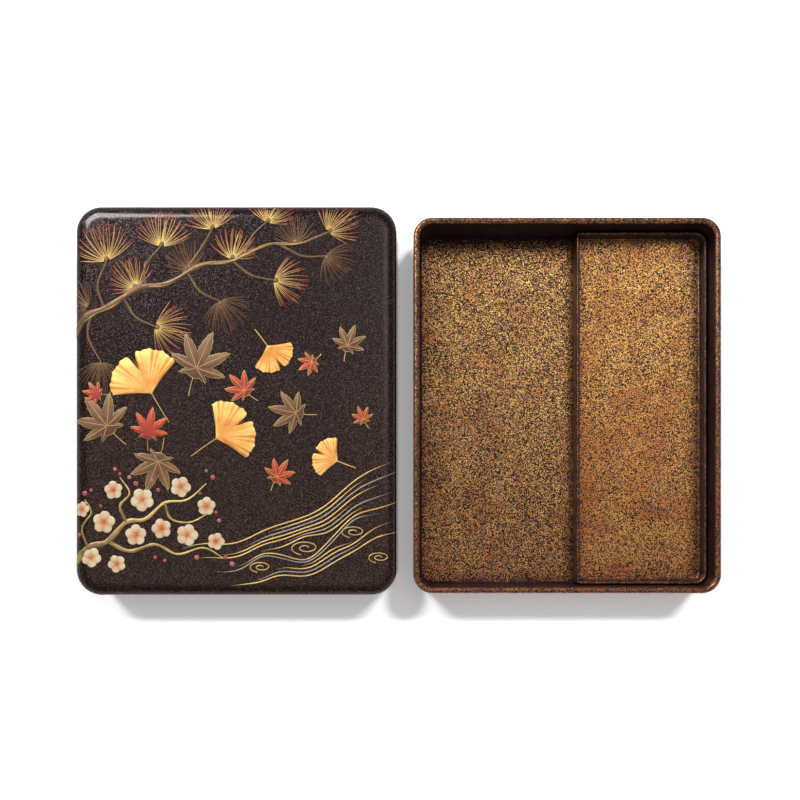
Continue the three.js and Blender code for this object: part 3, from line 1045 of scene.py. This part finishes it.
class WRITINGBOX_OT_maple(Operator):
    """Raise maple leaves in brown and in red lacquer, with gold veins"""

    bl_idname = "writing_box.maple"
    bl_label = "Maple leaves"

    def execute(self, context):
        vein_gold = raised_lacquer("vein_gold", context.scene.writing_box.colours)
        maple_leaves(context, "brown_maple", BROWN_MAPLES, vein_gold)
        maple_leaves(context, "red_maple", RED_MAPLES, vein_gold)
        return {"FINISHED"}


class WRITINGBOX_OT_plum(Operator):
    """Raise plum twigs with cream blossoms and red buds"""

    bl_idname = "writing_box.plum"
    bl_label = "Plum"

    def execute(self, context):
        face, relief, colours = lid_design(context)
        twigs = Motif(face)
        for thick, trunk in PLUM_TRUNKS:
            path = smooth_path(trunk, 10)
            along = np.linspace(0, 1, len(path))
            knots = 1 + 0.12 * np.sin(along * 47 + thick)
            widths = (thick - (thick - 0.6) * along) * knots * MM
            twigs.line(path, widths, relief.branch * 0.7, tones=(0.2, 1.0), sections=7)
        circle, angles = round_outline(20)
        petals = Motif(face)
        hearts = Motif(face)
        for x, y, degrees, size in BLOSSOMS:
            middle = np.array([x, y])
            for turn in range(degrees, degrees + 360, 72):
                centre = (middle + size * 0.52 * towards(turn)) * MM
                heartwards = 0.5 - 0.5 * np.cos(angles - math.radians(turn))
                petal = centre + circle * size * 0.46 * MM
                petals.patch(petal, centre, relief.petal, tones=(0.15, heartwards), rings=5)
            for stamen in range(15):
                reach = np.linspace(0.08, 0.5 if stamen % 2 else 0.4, 5)[:, None]
                path = (middle + size * reach * towards(degrees + 24 * stamen)) * MM
                hearts.line(path, 0.2 * MM, relief.petal * 1.3, sections=4)
            heart = middle * MM
            hearts.patch(heart + circle * size * 0.13 * MM, heart, relief.petal * 1.6, rings=4)
        buds = Motif(face)
        for number, place in enumerate(BUDS):
            centre = np.array(place) * MM
            outline = centre + circle * (1.1 + 0.25 * (number % 3)) * MM
            buds.patch(outline, centre, relief.petal * 1.3, tones=(number % 2, 0.5), rings=5)
        twigs.finish("plum_twigs", raised_lacquer("twig_gold", colours))
        petals.finish("plum_petals", raised_lacquer("blossom_cream", colours))
        hearts.finish("plum_hearts", raised_lacquer("heart_gold", colours))
        buds.finish("plum_buds", raised_lacquer("bud_red", colours))
        return {"FINISHED"}


class WRITINGBOX_OT_stream(Operator):
    """Raise the lines of a stream in gold and silver, with eddies"""

    bl_idname = "writing_box.stream"
    bl_label = "Stream"

    def execute(self, context):
        face, relief, colours = lid_design(context)
        gold = Motif(face)
        silver = Motif(face)
        for number in range(STREAM_LINES):
            aside = number / (STREAM_LINES - 1) - 0.5
            start = -18 + 17 * ((number * 5) % 4) - 30 * aside
            end = 106 - 8 * ((number * 3) % 5)
            x = np.linspace(start, end, 120)
            rise = 46 * ramp_up((x + 10) / 120)
            bend = 4.5 * np.sin((x + 30) / 19) + 1.6 * np.sin((x - 12) / 8)
            breadth = 26 + 20 * ramp_up((x + 10) / 120)
            y = -106 + rise + bend + aside * breadth
            for eddy_x, eddy_y, size in EDDIES:
                gap = np.interp(eddy_x, x, y) - eddy_y
                push = math.copysign(size * math.exp(-abs(gap) / (1.7 * size)), gap)
                y = y + push * np.exp(-((x - eddy_x) / (1.9 * size)) ** 2)
            ends = np.clip(np.minimum(x - start, end - x) / 16, 0.12, 1)
            path = np.column_stack([x, y]) * MM
            lines = silver if number % 3 == 1 else gold
            lines.line(path, 0.75 * MM * ends, relief.line, tones=(0.0, 0.6))
        for x, y, size in EDDIES:
            angles = np.linspace(0, 3.4 * math.pi, 70)
            reach = size * (0.14 + 0.86 * angles / angles[-1])
            path = np.column_stack([x + 1.5 * reach * np.cos(angles), y + 0.7 * reach * np.sin(angles)]) * MM
            gold.line(path, 0.6 * MM, relief.line, tones=(0.0, 0.4))
        gold.finish("stream_gold_lines", raised_lacquer("stream_gold", colours))
        silver.finish("stream_silver_lines", raised_lacquer("stream_silver", colours))
        return {"FINISHED"}


# The stage

SKYLIGHT_WAY = (0.25, 0.3, 0.92)  # where the room overhead is brightest
SKYLIGHT = (5.0, 5.0, 4.9)
CEILING = (1.12, 1.1, 1.1)
WALLS = (0.18, 0.18, 0.18)
LEFT_LAMP_PLACE = Vector((-2.4, 2.5, 5))
RIGHT_LAMP_PLACE = Vector((2.15, 2.5, 5))
HIGH_LAMP_SIZE = (0.9, 0.7)
LOW_LAMP_PLACE = Vector((-1.13, 1.19, 1.72))
LOW_LAMP_SIZE = (0.9, 0.85)
CAMERA_PLACE = (-0.0851, -0.0653)
CAMERA_SHIFT = (-0.0394, 0.137)
FLOOR_SPAN = 30
FLOOR_FADE = (1.0, 3.0)  # between these distances the seen floor turns from paper to plain white
FLOOR_GAIN = 0.2  # how much paler than it is the camera sees the floor
FLOOR_GLOW = 0.26  # light of its own that the camera and reflections see in the floor


def add_lamp(name, place, target, size, watts):
    """A soft lamp that faces its target."""
    data = bpy.data.lights.new(name, "AREA")
    data.energy = watts
    data.shape = "RECTANGLE"
    data.size, data.size_y = size
    lamp = bpy.data.objects.new(name, data)
    lamp.location = place
    lamp.rotation_euler = (place - target).to_track_quat("Z", "Y").to_euler()
    bpy.context.scene.collection.objects.link(lamp)
    return lamp


def seen_by_eye(tree):
    """1 for what the camera sees, straight or in gloss and glass."""
    straight, gloss, glass = (
        node(tree, "LightPath", out=f"Is {ray} Ray") for ray in ("Camera", "Glossy", "Transmission")
    )
    return calculate(tree, "MAXIMUM", calculate(tree, "MAXIMUM", straight, gloss), glass)


def pale_floor(name, paleness):
    """A matt floor that the camera and reflections see as white, with its shadows kept."""
    material = bpy.data.materials.new(name)
    material.use_nodes = True
    tree = material.node_tree
    tree.nodes.clear()
    speckle = node(tree, "TexNoise", {"Scale": 60.0, "Detail": 4.0})
    tone = mix(tree, times(tree, speckle, 0.02), (paleness,) * 3, (paleness * 0.97,) * 3)
    seen = seen_by_eye(tree)
    gain = times(tree, node(tree, "LightPath", out="Is Camera Ray"), FLOOR_GAIN, 1.0)
    paper = node(tree, "VectorMath", {0: tone, "Scale": gain}, operation="SCALE")
    matt = node(tree, "BsdfDiffuse", {"Color": paper})
    glow = node(tree, "Emission", {"Color": (1, 1, 1, 1), "Strength": times(tree, seen, FLOOR_GLOW)})
    near = node(tree, "AddShader", {0: matt, 1: glow})
    away = node(tree, "VectorMath", {0: node(tree, "TexCoord", out=3)}, out=1, operation="LENGTH")
    far = times(tree, seen, ramp(tree, away, *FLOOR_FADE))
    white = node(tree, "Emission", {"Color": (1, 1, 1, 1), "Strength": 1.0})
    node(tree, "OutputMaterial", {"Surface": node(tree, "MixShader", {0: far, 1: near, 2: white})})
    return material


def studio_world(sky):
    """A dim room with a soft light overhead, whose far walls are seen as white."""
    world = bpy.data.worlds.new("studio")
    world.use_nodes = True
    tree = world.node_tree
    tree.nodes.clear()
    way = node(tree, "TexCoord", out=0)
    height = node(tree, "SeparateXYZ", {0: way}, out=2)
    off = node(tree, "VectorMath", {0: way, 1: SKYLIGHT_WAY}, out=1, operation="DISTANCE")
    overhead = mix(tree, ramp(tree, off, 0.38, 0.06), CEILING, SKYLIGHT)
    tone = mix(tree, ramp(tree, height, 0.83, 0.96), WALLS, overhead)
    lit = node(tree, "VectorMath", {0: tone, "Scale": sky}, operation="SCALE")
    wall = times(tree, seen_by_eye(tree), ramp(tree, height, 0.6, 0.3))
    background = node(tree, "Background", {"Color": mix(tree, wall, lit, (1, 1, 1)), "Strength": 1.0})
    node(tree, "OutputWorld", {"Surface": background})
    return world


class WRITINGBOX_OT_stage(Operator):
    """Set up the pale floor, the soft lamps and the camera that looks straight down"""

    bl_idname = "writing_box.stage"
    bl_label = "Stage"

    def execute(self, context):
        studio = context.scene.writing_box.studio
        scene = context.scene
        bpy.ops.mesh.primitive_plane_add(size=FLOOR_SPAN, location=(0, 0, 0))
        floor = context.active_object
        floor.name = "floor"
        floor.data.materials.append(pale_floor("floor_paper", studio.floor))
        middle = (CAD_BOX[0] + CAD_BOX[1]) / 2
        left = add_lamp("left_lamp", LEFT_LAMP_PLACE, middle, HIGH_LAMP_SIZE, studio.left_lamp)
        right = add_lamp("right_lamp", RIGHT_LAMP_PLACE, middle, HIGH_LAMP_SIZE, studio.right_lamp)
        for lamp in (left, right):
            lamp.visible_glossy = False  # their mirror images would glare on lid and floor
        low = add_lamp("low_lamp", LOW_LAMP_PLACE, middle, LOW_LAMP_SIZE, studio.low_lamp)
        low.visible_diffuse = False  # it gleams on the lacquer, and casts no shadow
        scene.world = studio_world(studio.sky)
        scene.view_settings.view_transform = "Standard"
        data = bpy.data.cameras.new("camera")
        data.sensor_width = 36
        data.lens = studio.lens
        data.shift_x, data.shift_y = CAMERA_SHIFT
        camera = bpy.data.objects.new("camera", data)
        camera.location = (*CAMERA_PLACE, studio.camera_height)
        scene.collection.objects.link(camera)
        scene.camera = camera
        return {"FINISHED"}


# The sidebar's panel, and the run

class VIEW3D_PT_writing_box(Panel):
    """The writing box in the 3D view's sidebar"""

    bl_label = "Writing Box"
    bl_space_type = "VIEW_3D"
    bl_region_type = "UI"
    bl_category = "Writing Box"

    def draw(self, context):
        layout = self.layout
        for operator in OPERATORS:
            layout.operator(operator.bl_idname)
        settings = context.scene.writing_box
        for part in WritingBoxSettings.__annotations__:
            group = getattr(settings, part)
            column = layout.box().column()
            for name in group.__annotations__:
                column.prop(group, name)


OPERATORS = (
    WRITINGBOX_OT_box, WRITINGBOX_OT_tray, WRITINGBOX_OT_lid, WRITINGBOX_OT_pine, WRITINGBOX_OT_ginkgo,
    WRITINGBOX_OT_maple, WRITINGBOX_OT_plum, WRITINGBOX_OT_stream, WRITINGBOX_OT_stage,
)
GROUPS = (BoxSizes, TraySizes, LidSizes, ReliefSizes, Colours, Studio, WritingBoxSettings)
CLASSES = (*GROUPS, *OPERATORS, VIEW3D_PT_writing_box)


def register():
    for each in CLASSES:
        bpy.utils.register_class(each)
    bpy.types.Scene.writing_box = PointerProperty(type=WritingBoxSettings)


def unregister():
    del bpy.types.Scene.writing_box
    for each in reversed(CLASSES):
        bpy.utils.unregister_class(each)


def main():
    register()
    for operator in OPERATORS:
        area, name = operator.bl_idname.split(".")
        getattr(getattr(bpy.ops, area), name)()


if __name__ == "__main__":
    main()
